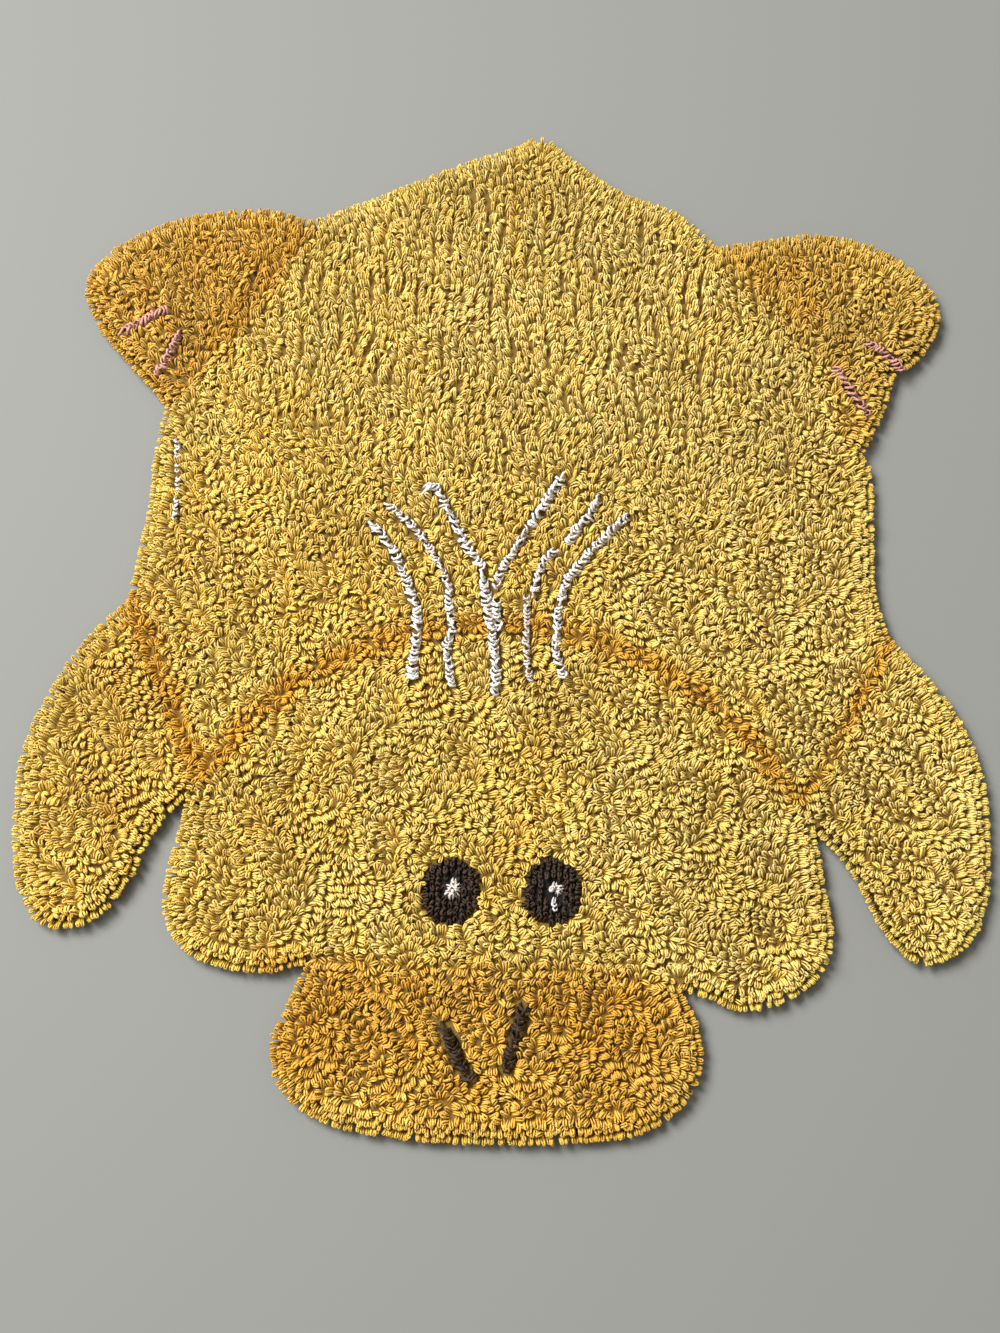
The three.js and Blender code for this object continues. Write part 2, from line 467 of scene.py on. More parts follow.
@dataclass(frozen=True)
class LoopShape:
    """The shape of one loop of yarn: two legs and an arch, bent over as a whole and twisted.

    Its colours can be kept in a cell of its own in a square picture. The cell's sizes are shares of
    the cell, along the yarn and round it.
    """

    leg_share: float = 0.45
    arch_steps: int = 5
    arch_from: float = 208.0
    arch_to: float = -28.0
    arch_tall: float = 1.5
    sides: int = 3
    wiggle: float = 0.35
    wiggle_phase: float = 6.28
    yarn_slip: float = 40.0
    cell_start: tuple[float, float] = (0.16, 0.06)
    cell_size: tuple[float, float] = (0.8, 0.88)
    cap_places: tuple[Point, ...] = ((0.07, 0.25), (0.07, 0.75))
    cap_radius: float = 0.05

    @property
    def steps(self) -> int:
        """Return how many points a loop's centreline has: the arch's and the two legs' roots."""
        return self.arch_steps + 2

    @property
    def triangles(self) -> int:
        """Return how many triangles a loop has: its sides' quads, cut in two, and its two end caps."""
        return 2 * (self.steps - 1) * self.sides + 2 * (self.sides - 2)

    def profile(self) -> tuple[np.ndarray, np.ndarray]:
        """Return the centreline before it bends: sideways in half widths, and the arch's own rise.

        The arch runs from a little under the level of its middle, over the top, to the same level.

        Returns:
            One number a step of each. The rise isn't a number at the two roots, which stay down.
        """
        turn = np.radians(np.linspace(self.arch_from, self.arch_to, self.arch_steps))
        sideways = np.concatenate([[-self.leg_share], np.cos(turn), [self.leg_share]])
        rise = np.concatenate([[np.nan], self.arch_tall * np.sin(turn), [np.nan]])
        return sideways, rise

    def centreline(self, loops: Loops) -> tuple[np.ndarray, np.ndarray]:
        """Lay out the middle of the yarn of every loop at once.

        The centreline's height above the root turns into an arc of constant curvature towards the
        side the loop leans to, and the sideways direction turns with it.

        Args:
            loops: The loops to lay out.

        Returns:
            The centrelines in millimetres, and the directions square to the loops' own planes, both
            indexed by loop, step along the yarn, and axis.
        """
        sideways, rise = self.profile()
        half, tall = loops.half[:, None], loops.height[:, None]
        up = np.where(np.isnan(rise), 0, tall - self.arch_tall * half + rise * half)
        bend = loops.lean[:, None] * up / tall
        curve = loops.lean[:, None] / tall
        over, high = (1 - np.cos(bend)) / curve, np.sin(bend) / curve
        turn = loops.plane[:, None] + loops.twist[:, None] * up / tall
        across = np.stack([np.cos(turn), np.sin(turn), np.zeros_like(turn)], axis=-1)
        to = np.column_stack([ways(loops.lean_to), np.zeros(len(loops.root))])[:, None]
        level = (across * to).sum(-1, keepdims=True)
        tipped = to * np.cos(bend)[..., None] - UP * np.sin(bend)[..., None]
        across = across - level * to + level * tipped
        spine = to * np.sin(bend)[..., None] + UP * np.cos(bend)[..., None]
        flat = np.cross(spine, across)
        start = np.concatenate([loops.root, loops.base[:, None]], axis=1)[:, None]
        middle = start + over[..., None] * to + high[..., None] * UP
        middle = middle + across * (sideways * half)[..., None]
        phase = self.wiggle_phase * loops.shade[:, 2:3]
        wave = np.sin(np.linspace(0, 2 * np.pi, self.steps) + phase) * (up > 0)
        return middle + flat * (self.wiggle * wave)[..., None], flat

    def rings(self, loops: Loops) -> np.ndarray:
        """Carry a round section along every loop.

        Args:
            loops: The loops to make.

        Returns:
            Points in millimetres, indexed by loop, step along the yarn, side round it, and axis.
        """
        middle, flat = self.centreline(loops)
        along = np.gradient(middle, axis=1)
        along /= np.linalg.norm(along, axis=-1, keepdims=True)
        first = flat - (flat * along).sum(-1, keepdims=True) * along
        first /= np.maximum(np.linalg.norm(first, axis=-1, keepdims=True), 1e-9)
        second = np.cross(along, first)
        around = np.linspace(0, 2 * np.pi, self.sides, endpoint=False)
        ring = first[:, :, None] * np.cos(around)[:, None] + second[:, :, None] * np.sin(around)[:, None]
        return middle[:, :, None] + loops.yarn[:, None, None, None] * ring

    def faces(self, count: int) -> tuple[np.ndarray, np.ndarray]:
        """List the corners of all faces of a number of loops.

        Args:
            count: How many loops there are.

        Returns:
            The quads along the yarn, and the two end caps of each loop.
        """
        last = self.steps - 1
        first = (np.arange(count) * self.steps * self.sides)[:, None, None]
        ring = (np.arange(last) * self.sides)[None, :, None]
        side = np.arange(self.sides)[None, None, :]
        after = (side + 1) % self.sides
        quads = np.stack(
            [first + ring + side, first + ring + after,
             first + ring + self.sides + after, first + ring + self.sides + side], axis=-1,
        )
        caps = np.stack(
            [first[:, 0] + np.arange(self.sides)[::-1],
             first[:, 0] + last * self.sides + np.arange(self.sides)], axis=1,
        )
        return quads.reshape(-1, 4), caps.reshape(-1, self.sides)

    def maps(self, loops: Loops) -> tuple[np.ndarray, np.ndarray]:
        """Lay out two maps, for every corner of every quad and cap.

        The first is the yarn's own: once round it, and millimetres along it. The second gives each
        loop a cell of its own in a square, so that its colours can be kept in a picture.

        Args:
            loops: The loops to map.

        Returns:
            The two maps, corners of quads first and then corners of caps.
        """
        count, last = len(loops.root), self.steps - 1
        ring = np.arange(last)[:, None, None]
        side = np.arange(self.sides)[None, :, None]
        along = ring + np.array([0, 0, 1, 1])
        around = (side + np.array([0, 1, 1, 0])) / self.sides
        along, around = np.broadcast_arrays(along, around)
        length = 2 * loops.height[:, None, None, None] / last
        phase = self.yarn_slip * loops.shade[:, 2][:, None, None, None]
        own = np.stack([np.broadcast_to(around, (count, *around.shape)), along * length + phase], axis=-1)
        columns = int(np.ceil(np.sqrt(count)))
        cell = np.stack([np.arange(count) % columns, np.arange(count) // columns], axis=-1) / columns
        (left, low), (wide, high) = self.cell_start, self.cell_size
        inside = np.stack([left + wide * along / last, low + high * around], axis=-1) / columns
        kept = cell[:, None, None, None] + inside
        disc = circle(self.sides) * self.cap_radius
        caps = cell[:, None, None] + (np.array(self.cap_places)[:, None] + disc) / columns
        own_caps = np.zeros_like(caps) + phase
        return (np.vstack([own.reshape(-1, 2), own_caps.reshape(-1, 2)]),
                np.vstack([kept.reshape(-1, 2), caps.reshape(-1, 2)]))

    def mesh(self, name: str, loops: Loops) -> bpy.types.Object:
        """Make one object of many loops, with its maps and its loops' shades.

        Args:
            name: The object's name.
            loops: The loops to make.

        Returns:
            The object.
        """
        rings = self.rings(loops)
        quads, caps = self.faces(len(loops.root))
        own, kept = self.maps(loops)
        piece = mesh_object(name, rings.reshape(-1, 3) * MM, quads, caps)
        for title, values in (("yarn", own), ("OFBake", kept)):
            layer = piece.data.uv_layers.new(name=title)
            layer.uv.foreach_set("vector", values.astype(np.float32).ravel())
        shade = piece.data.attributes.new("shade", "FLOAT_VECTOR", "POINT")
        each = np.repeat(loops.shade, rings.shape[1] * rings.shape[2], axis=0)
        shade.data.foreach_set("vector", each.astype(np.float32).ravel())
        return piece


def mesh_object(name: str, points: np.ndarray, *kinds: np.ndarray) -> bpy.types.Object:
    """Make a smooth mesh object from arrays.

    Args:
        name: The object's name.
        points: Its vertices in metres.
        *kinds: Arrays of corner lists, one array for each number of corners.

    Returns:
        The object, linked to the scene, at the origin.
    """
    mesh = bpy.data.meshes.new(name)
    corners = np.concatenate([faces.ravel() for faces in kinds]).astype(np.int32)
    sizes = np.concatenate([np.full(len(faces), faces.shape[1]) for faces in kinds]).astype(np.int32)
    mesh.vertices.add(len(points))
    mesh.vertices.foreach_set("co", points.astype(np.float32).ravel())
    mesh.loops.add(len(corners))
    mesh.loops.foreach_set("vertex_index", corners)
    mesh.polygons.add(len(sizes))
    starts = np.concatenate([[0], np.cumsum(sizes)[:-1]]).astype(np.int32)
    mesh.polygons.foreach_set("loop_start", starts)
    mesh.polygons.foreach_set("use_smooth", np.ones(len(sizes), bool))
    mesh.update(calc_edges=True)
    mesh.validate()
    piece = bpy.data.objects.new(name, mesh)
    bpy.context.scene.collection.objects.link(piece)
    return piece


@dataclass(frozen=True)
class Patch:
    """A soft spot where the yarn is warmer, or darker, than round it. Below 0, the change is reversed."""

    middle: Point
    spread: tuple[float, float]
    change: float

    def at(self, places: np.ndarray) -> np.ndarray:
        """Return the change at each place: a bell over the distance from the middle."""
        away = (places - self.middle) / self.spread
        return self.change * np.exp(-(away**2).sum(1))


@dataclass(frozen=True)
class Seam:
    """A line in the pile along which the loops part, with warmer dye than round it."""

    name: str
    knots: tuple[Point, ...]
    parting: float = 0.8
    reach: float = 6.0
    warmer: float = 0.0
    spread: float = 6.0
    spacing: float = 2.0

    def line(self) -> np.ndarray:
        """Return points along the line."""
        return smooth_line(self.knots, self.spacing)


def neck_knots() -> tuple[Point, ...]:
    """Return knots along the neck's arc, from the left wing to the right one."""
    turn = np.radians(np.linspace(*NECK_TURN, NECK_KNOTS))
    return tuple(map(tuple, NECK_CENTRE + NECK_RADIUS * ways(turn)))


SEAMS = (
    Seam("neck_line", neck_knots(), 0.45, 6.0, 0.95, 8.5),
    Seam("wing_lines", LEFT_WING_LINE, 0.6, 6.0, 0.80, 8.0),
    Seam("wing_lines", RIGHT_WING_LINE, 0.6, 6.0, 0.75, 7.0),
    Seam("foot_lines", ((-177, 299), (-193, 267), (-210, 236), (-225, 210), (-245, 182), (-275, 140)),
         0.4, 6.0, 0.26, 14.0),
    Seam("foot_lines", ((149, 293), (193, 253), (221, 217), (242, 176), (261, 128)),
         0.3, 6.0, 0.16, 16.0),
    Seam("bill_line", ((-131, -270), (-60, -272), (60, -270), (131, -276)), 0.7, 6.0, 0.10, 5.0),
    Seam("tail_partings", ((-17, 377), (-11, 261)), 0.6, 3.5, 0.16, 4.0),
    Seam("tail_partings", ((7, 377), (13, 261)), 0.6, 3.5, 0.16, 4.0),
    Seam("tail_partings", ((-118, 328), (-113, 272)), 0.5, 3.5, 0.08, 4.0),
    Seam("foot_parting", ((-272, 250), (-254, 278)), 0.7, 4.0, 0.10, 4.0),
)


Clouds = tuple[tuple[float, SoftNoise], ...]


@dataclass(frozen=True)
class DyeAndPaintedShade:
    """How warm and how light the yarn is from place to place. Warmth 0 is pale sand, 1 golden."""

    bases: tuple[tuple[Zone, float], ...] = (
        (Zone.BODY, 0.24), (Zone.HEAD, 0.28), (Zone.BILL, 0.84), (Zone.LEFT_WING, 0.38),
        (Zone.RIGHT_WING, 0.28), (Zone.LEFT_FOOT, 0.72), (Zone.RIGHT_FOOT, 0.70),
    )
    patches: tuple[Patch, ...] = (
        Patch((-190, 20), (110, 70), 0.17),
        Patch((90, -325), (60, 45), 0.12),
        Patch((200, 285), (70, 24), 0.14),
        Patch((0, 215), (120, 90), -0.14),
        Patch((30, -120), (18, 90), 0.16),
        Patch((0, 20), (90, 40), 0.16),
        Patch((-5, 340), (20, 50), 0.10),
        Patch((150, -180), (90, 60), -0.06),
        Patch((-100, -320), (36, 30), 0.12),
        Patch((60, -300), (60, 26), 0.12),
        Patch((-110, -372), (60, 22), -0.22),
        Patch((130, -340), (26, 50), -0.20),
        Patch((0, -384), (110, 14), -0.14),
        Patch((5, -205), (14, 40), 0.22),
    )
    darker: tuple[Patch, ...] = (
        Patch((255, 230), (75, 75), 0.13),
        Patch((-270, 230), (70, 70), 0.09),
        Patch((-240, -60), (80, 60), 0.04),
        Patch((80, -330), (80, 50), 0.03),
        Patch((-60, -330), (80, 50), -0.03),
        Patch((200, -230), (70, 50), 0.09),
        Patch((0, 340), (110, 60), 0.11),
        Patch((-110, -20), (70, 50), -0.08),
        Patch((-20, 215), (180, 110), -0.08),
        Patch((-220, 60), (60, 60), -0.07),
        Patch((-190, -235), (50, 40), -0.08),
        Patch((250, 20), (50, 70), 0.03),
    )
    blur: float = 8.0
    warm_clouds: Clouds = ((0.06, SoftNoise(110, 3)), (0.06, SoftNoise(30, 4)))
    warm_to_the_right: float = -0.10
    warm_speckle: float = 0.05
    seam_clouds: Clouds = ((0.25, SoftNoise(24, 9)),)
    seam_speckle: float = 0.18
    lightest: float = 0.99
    # soft clouds of lightness: painted shade of the pile's soft lumps, and uneven tone
    lump_shade_and_tone_clouds: Clouds = ((0.045, SoftNoise(60, 5)), (0.045, SoftNoise(150, 6)))
    light_to_the_right: float = -0.025
    light_speckle: float = 0.04

    def bases_at(self, places: np.ndarray) -> np.ndarray:
        """Return the zones' warmth, averaged over a ring round each place so that borders are soft.

        Args:
            places: The places, one row each.

        Returns:
            One warmth a place.
        """
        total = np.zeros(len(places))
        ring = circle(6)
        for step in ring:
            zone = zones(places + self.blur * step)
            for which, value in self.bases:
                total[zone == which] += value / len(ring)
        return total

    @staticmethod
    def clouded(places: np.ndarray, clouds: Clouds) -> np.ndarray:
        """Return the sum of some clouds at each place, each one's noise times its strength."""
        return sum(strength * noise.at(places) for strength, noise in clouds)

    def warmth(self, places: np.ndarray, rng: np.random.Generator) -> np.ndarray:
        """Return the warmth at each place: its zone's base, and clouds, patches and seams.

        Args:
            places: The places, one row each.
            rng: Where each loop's own difference is drawn from.

        Returns:
            One warmth a place.
        """
        count = len(places)
        clouds = self.clouded(places, self.warm_clouds)
        spots = sum(patch.at(places) for patch in self.patches)
        for seam in SEAMS:
            away = gaps(places, seam.line())
            uneven = 1 + self.clouded(places, self.seam_clouds) + rng.normal(0, self.seam_speckle, count)
            spots = spots + seam.warmer * uneven * np.exp(-((away / seam.spread) ** 2))
        slope = self.warm_to_the_right * places[:, 0] / HALF_WIDTH
        return self.bases_at(places) + clouds + spots + slope + rng.normal(0, self.warm_speckle, count)

    def lightness(self, places: np.ndarray, rng: np.random.Generator) -> np.ndarray:
        """Return how light each loop is: about 1, with soft clouds, partly painted shade, and a little of
        its own.

        Args:
            places: Where the loops show, one row each.
            rng: Where each loop's own difference is drawn from.

        Returns:
            One lightness a place.
        """
        slope = self.light_to_the_right * places[:, 0] / HALF_WIDTH
        spots = sum(patch.at(places) for patch in self.darker)
        clouds = self.clouded(places, self.lump_shade_and_tone_clouds)
        return self.lightest + slope - spots + clouds + rng.normal(0, self.light_speckle, len(places))


@dataclass(frozen=True)
class Row:
    """A line of stitches of another yarn, each loop turned across it so that it looks like a rope.

    Half is half the rope's width. The names of a Spread say how its loops differ, and lift, tall and
    yarn how they stand out from the pile.
    """

    piece: str
    knots: tuple[Point, ...]
    half: float
    pitch: float = 2.8
    tint: float = 0.1
    scatter: float = 0.35
    swings: Spread = Spread(0, 0.35)
    slants: Spread = Spread(-0.35, 0.45)
    leans: Spread = Spread(1.0, 0.2, 0.3, 1.5)
    tints: Spread = Spread(0, 0.08)
    halves: Spread = Spread(1, 0.12)
    lift: float = 0.4
    tall: float = 0.9
    yarn: float = 0.75
    yarn_by_half: float = 0.13

    def stitches(self) -> tuple[np.ndarray, np.ndarray]:
        """Return the stitches' places, and the row's angle at each."""
        line = smooth_line(self.knots, self.pitch)
        return line, headings(line)


ROWS = (
    Row("crest_lines", ((-108, 52), (-91, 32), (-78, 6), (-71, -11), (-69, -28), (-71, -54)),
        3.3, tint=0.12),
    Row("crest_lines", ((-71, -58), (-69, -65)), 4.2),
    Row("crest_lines", ((-97, 68), (-82, 56), (-63, 34), (-50, 12)), 2.6, tint=0.3),
    Row("crest_lines", ((-48, 8), (-46, -12), (-43, -26), (-46, -38), (-45, -50), (-41, -69)),
        2.8, tint=0.12),
    Row("crest_lines", ((-70, 83), (-63, 84), (-58, 77), (-50, 63), (-33, 34), (-23, 22)), 3.4),
    Row("crest_lines", ((-23, 16), (-17, -10), (-13, -32), (-10, -48), (-9, -73)), 3.6),
    Row("crest_lines", ((-12, -4), (-11, -14), (-8, -24)), 2.9),
    Row("crest_lines", ((33, 97), (27, 86), (20, 73), (11, 58)), 3.8),
    Row("crest_lines", ((8, 53), (5, 47), (-3, 32), (-10, 19), (-13, 7)), 2.7, tint=0.3),
    Row("crest_lines", ((61, 80), (54, 67), (45, 55), (40, 45)), 3.3, tint=0.25),
    Row("crest_lines", ((29, 38), (22, 28), (18, 16), (15, 3)), 2.8, tint=0.3),
    Row("crest_lines", ((11, 0), (12, -23), (12, -38), (14, -52), (16, -62)), 2.1, tint=0.6),
    Row("crest_lines", ((83, 68), (63, 46), (43, 20), (35, -5), (35, -22), (34, -41), (40, -58)),
        3.1, tint=0.12),
    Row("eye_highlights", ((40.5, -221), (41.5, -227)), 1.4, 2.6),
    Row("nostrils", ((-30, -314), (-23, -328), (-18, -339), (-12, -346)), 4.9),
    Row("nostrils", ((23, -297), (19, -313), (15, -326), (13, -338)), 4.6),
    Row("toe_lines", ((-314, 200), (-303, 206), (-293, 214), (-282, 220)), 2.9),
    Row("toe_lines", ((-268, 201), (-274, 186), (-283, 165)), 3.1),
    Row("toe_lines", ((266, 220), (278, 212), (291, 200)), 2.6),
    Row("toe_lines", ((242, 196), (253, 178), (264, 162)), 2.8),
    Row("edge_stitches", ((-261, 110), (-260, 99)), 1.7),
    Row("edge_stitches", ((-259, 91), (-259, 87)), 1.5),
    Row("edge_stitches", ((-258, 81), (-257, 73)), 1.5),
    Row("edge_stitches", ((-257, 64), (-256, 48)), 1.7),
)


@dataclass(frozen=True)
class Spot:
    """An oval filled with columns of stitches of one yarn.

    The names of a Spread say how its loops differ, and tall, wide and yarn how they compare with the
    pile's.
    """

    piece: str
    middle: Point
    radii: tuple[float, float]
    column: float = 4.5
    pitch: float = 3.6
    scatter: float = 0.4
    inward_from: float = 0.72
    swings: Spread = Spread(0, 0.5)
    slants: Spread = Spread(0, 0.4)
    leans: Spread = Spread(1.2, 0.15, 0.3, 1.5)
    tall: float = 0.82
    wide: float = 1.1
    yarn: float = 1.2

    def ring(self, size: float, count: int = 60) -> np.ndarray:
        """Return points round the oval, made smaller by a share."""
        return size * circle(count) * self.radii + self.middle

    def stitches(self, rng: np.random.Generator) -> np.ndarray:
        """Lay the stitches in columns, every other one half a pitch along.

        Args:
            rng: Where each stitch's own slip is drawn from.

        Returns:
            The stitches' places, one row each.
        """
        wide, long = (int(np.ceil(r / step)) for r, step in zip(self.radii, (self.column, self.pitch)))
        i, j = np.meshgrid(np.arange(-wide, wide + 1), np.arange(-long, long + 1), indexing="ij")
        grid = np.stack([i * self.column, (j + 0.5 * (i % 2)) * self.pitch], axis=-1).reshape(-1, 2)
        grid = grid + rng.normal(0, self.scatter, grid.shape)
        return grid[((grid / self.radii) ** 2).sum(1) < 1] + self.middle


SPOTS = (
    Spot("eye_highlights", (-31.5, -216.5), (4.0, 6.8), 3.2, 2.8),
    Spot("eye_highlights", (41.5, -213.0), (4.9, 5.2), 3.2, 2.8),
    Spot("eyes", (-32.5, -218), (21.2, 23.6)),
    Spot("eyes", (39.5, -215.0), (21.2, 23.6)),
)


@dataclass(frozen=True)
class RimRow:
    """One of the rows that follow the edge and lean out of the rug, so that their tips meet it.

    Uneven is how far its loops stray from the row.
    """

    inset: float
    lean: float
    base: float
    height: float
    half: float
    uneven: float


RIM_ROWS = (
    RimRow(8.2, 1.8, 1.3, 12.6, 0.9, 0.3),
    RimRow(14.4, 1.65, 1.8, 14.4, 1.0, 0.9),
    RimRow(19.8, 1.6, 2.1, 15.6, 1.1, 1.2),
)


PARTS = (("body", (-88, 88), ("left", "middle", "right")), ("head", (0,), ("left", "right")))


@dataclass
class Tufting:
    """Decides where every loop of the rug goes, how it lies, its dye and its painted shade.

    The names of a Spread say how much a size differs from loop to loop: as a share of it, as an
    angle or, for the bases, in millimetres. The names that end in clear say how much room is kept
    beside other yarns and the edge. Apart and hole are how far new loops stay from the strands laid,
    while the field is filled and while its holes are covered, and turns, tries and cell say how that
    is done. The neat names say where the loops lie in order, and the groove names how they part
    there and how much painted shade darkens them, with grooves the distance between two of them.
    """

    rim_pitch: float = 2.4
    apart: float = 2.3
    hole: float = 1.7
    edge_clear: float = 6.0
    row_clear: float = 1.9
    spot_clear: float = 2.5
    ring_clear: float = 2.4
    ring_step: float = 0.05
    base: float = 2.2
    bases: Spread = Spread(0, 0.5, -1.0, 1.0)
    height: float = 15.0
    heights: Spread = Spread(1, 0.065, 0.8, 1.15)
    half: float = 1.02
    halves: Spread = Spread(1, 0.14, 0.7, 1.4)
    yarn: float = 0.96
    yarns: Spread = Spread(1, 0.07, 0.8, 1.2)
    twists: Spread = Spread(0, 0.25)
    planes: Spread = Spread(0, 0.25)
    rim_swings: Spread = Spread(0, 0.18)
    rim_lean: float = 0.08
    rim_sizes: tuple[float, float] = (0.03, 0.12)
    rim_cut: tuple[float, float] = (0.7, 1.3)
    neat_middle: Point = (-20, 215)
    neat_spread: Point = (260, 150)
    neat_level: float = 1.4
    neat_chance: tuple[float, float] = (0.05, 0.95)
    grooves: float = 12.5
    groove_half: float = 1.75
    groove_wander: float = 4.0
    groove_noise: SoftNoise = SoftNoise(60, 13)
    groove_stretch: Point = (0.4, 1.0)
    groove_widths: tuple[float, float] = (0.7, 0.6)
    groove_width_noise: SoftNoise = SoftNoise(45, 17)
    groove_order: float = 0.7
    groove_turn: float = 0.8
    groove_reach: float = 3.0
    groove_shade: float = 0.3
    groove_shade_reach: float = 1.6
    wander: float = 3.4
    wander_noise: SoftNoise = SoftNoise(52, 11)
    sway: float = 0.6
    sway_noise: SoftNoise = SoftNoise(60, 12)
    backwards: float = 0.1
    seam_push: float = 2.2
    rim_pull: float = 0.9
    rim_reach: float = 34.0
    field_swings: Spread = Spread(0, 0.3)
    field_leans: Spread = Spread(0, 0.11)
    field_cut: tuple[float, float] = (0.9, 2.0)
    field_lean: float = 1.6
    flatter_to_the_left: float = 0.08
    turns: int = 80
    cover_turns: int = 50
    tries: int = 16000
    cell: float = 12.0
    cell_side: float = 3.5
    strands_above: float = 6.0
    line_half: float = 5.5
    shape: LoopShape = field(default_factory=LoopShape)
    dye: DyeAndPaintedShade = field(default_factory=DyeAndPaintedShade)
    rng: np.random.Generator = field(default_factory=lambda: np.random.default_rng(SEED))

    def __post_init__(self) -> None:
        """Prepare the edge and the two maps: of room beside the edge, and of room for more loops."""
        self.edge = EDGE.line()
        low, high = self.edge.min(0), self.edge.max(0)
        self.edge_room = Ground(low, high)
        self.edge_room.mark(self.edge, self.edge_clear)
        self.room = Ground(low, high)

    def lay(
        self,
        places: np.ndarray,
        plane: np.ndarray,
        lean_to: np.ndarray,
        lean: np.ndarray,
        shift: bool = True,
    ) -> Loops:
        """Make loops at places, with each one's own small differences.

        Args:
            places: Where the loops' middles show, or where their roots are.
            plane: The angle along which each loop's two legs stand.
            lean_to: The angle that each loop leans to.
            lean: How far it bends over.
            shift: Whether the places are where the loops show.

        Returns:
            The loops, with no dye or painted shade yet.
        """
        count, rng = len(places), self.rng
        loops = Loops(
            root=places,
            base=self.base + self.bases.draw(rng, count),
            plane=plane,
            lean_to=lean_to,
            lean=np.maximum(lean, LEAST_LEAN),
            twist=self.twists.draw(rng, count),
            height=self.height * self.heights.draw(rng, count),
            half=self.half * self.halves.draw(rng, count),
            yarn=self.yarn * self.yarns.draw(rng, count),
            shade=np.column_stack([np.full(count, 0.5), np.ones(count), rng.uniform(0, 1, count)]),
        )
        if shift:
            root = 2 * places - loops.shown
            inside = within(root, self.edge) & self.edge_room.free(root)
            loops.root = np.where(inside[:, None], root, places)
        return loops

    def rim(self) -> Loops:
        """Lay the rows that follow the edge.

        Returns:
            Their loops, the outermost row's first.
        """
        sets, rng = [], self.rng
        for row in RIM_ROWS:
            root, out = EDGE.inset_row(row.inset, self.rim_pitch)
            root = root + rng.normal(0, row.uneven, root.shape)
            count = len(root)
            lean_to = out + self.rim_swings.draw(rng, count)
            plane = lean_to + np.pi / 2 + self.planes.draw(rng, count)
            lean = Spread(row.lean, self.rim_lean).draw(rng, count)
            loops = self.lay(root, plane, lean_to, lean, shift=False)
            sizes = rng.normal(1, self.rim_sizes, (count, 2)).clip(*self.rim_cut) * (row.height, row.half)
            base = np.full(count, row.base)
            sets.append(replace(loops, base=base, height=sizes[:, 0], half=sizes[:, 1]))
        return Loops.joined(sets)

    def order(self, places: np.ndarray) -> np.ndarray:
        """Return how much the loops lie along y: most in the upper middle of the body."""
        away = (places - self.neat_middle) / self.neat_spread
        return (self.neat_level * np.exp(-(away**2).sum(1))).clip(0, 1)

    def beside_groove(self, places: np.ndarray) -> np.ndarray:
        """Return how far right of the nearest groove along y each place is, or left if negative."""
        waver = self.groove_noise.at(places * self.groove_stretch)
        wavering = places[:, 0] + self.groove_wander * waver
        return (wavering + self.grooves / 2) % self.grooves - self.grooves / 2

    def off_grooves(self, places: np.ndarray) -> np.ndarray:
        """Tell which places are in no groove.

        Grooves are open where the pile is in order, and their width comes and goes along them.

        Args:
            places: The places, one row each.

        Returns:
            True for each place where a loop may go.
        """
        usual, change = self.groove_widths
        share = usual + change * self.groove_width_noise.at(places)
        wide = self.groove_half * share * (self.order(places) > self.groove_order)
        return np.abs(self.beside_groove(places)) >= wide

    def flow(self, places: np.ndarray) -> np.ndarray:
        """Return the angle that loops lean to at each place.

        It wanders smoothly over the rug, turns out of it near the edge and away from the seams, and
        runs mostly towards the tail in the body, where it also parts at the grooves.

        Args:
            places: The places, one row each.

        Returns:
            One angle a place.
        """
        rng, count = self.rng, len(places)
        wander = self.wander * self.wander_noise.at(places)
        turned = np.pi * (rng.uniform(0, 1, count) < self.backwards)
        upward = np.pi / 2 + self.sway * self.sway_noise.at(places) + turned
        neat = self.order(places) > rng.uniform(*self.neat_chance, count)
        side = self.beside_groove(places)
        upward = upward - self.groove_turn * np.sign(side) * np.exp(-((side / self.groove_reach) ** 2))
        way = ways(np.where(neat, upward, wander) + self.field_swings.draw(rng, count))
        way = way + pull(places, self.edge, self.rim_reach, self.rim_pull)
        for seam in SEAMS:
            way = way - pull(places, seam.line(), seam.reach, self.seam_push * seam.parting)
        return np.arctan2(way[:, 1], way[:, 0])

    def field_loops(self, places: np.ndarray) -> Loops:
        """Lay loops of the pile, flatter on the left.

        Args:
            places: Where their middles show.

        Returns:
            The loops.
        """
        count, rng = len(places), self.rng
        lean_to = self.flow(places)
        plane = lean_to + np.pi / 2 + self.planes.draw(rng, count)
        slope = self.flatter_to_the_left * places[:, 0] / HALF_WIDTH
        lean = self.field_lean - slope + self.field_leans.draw(rng, count)
        return self.lay(places, plane, lean_to, lean.clip(*self.field_cut))

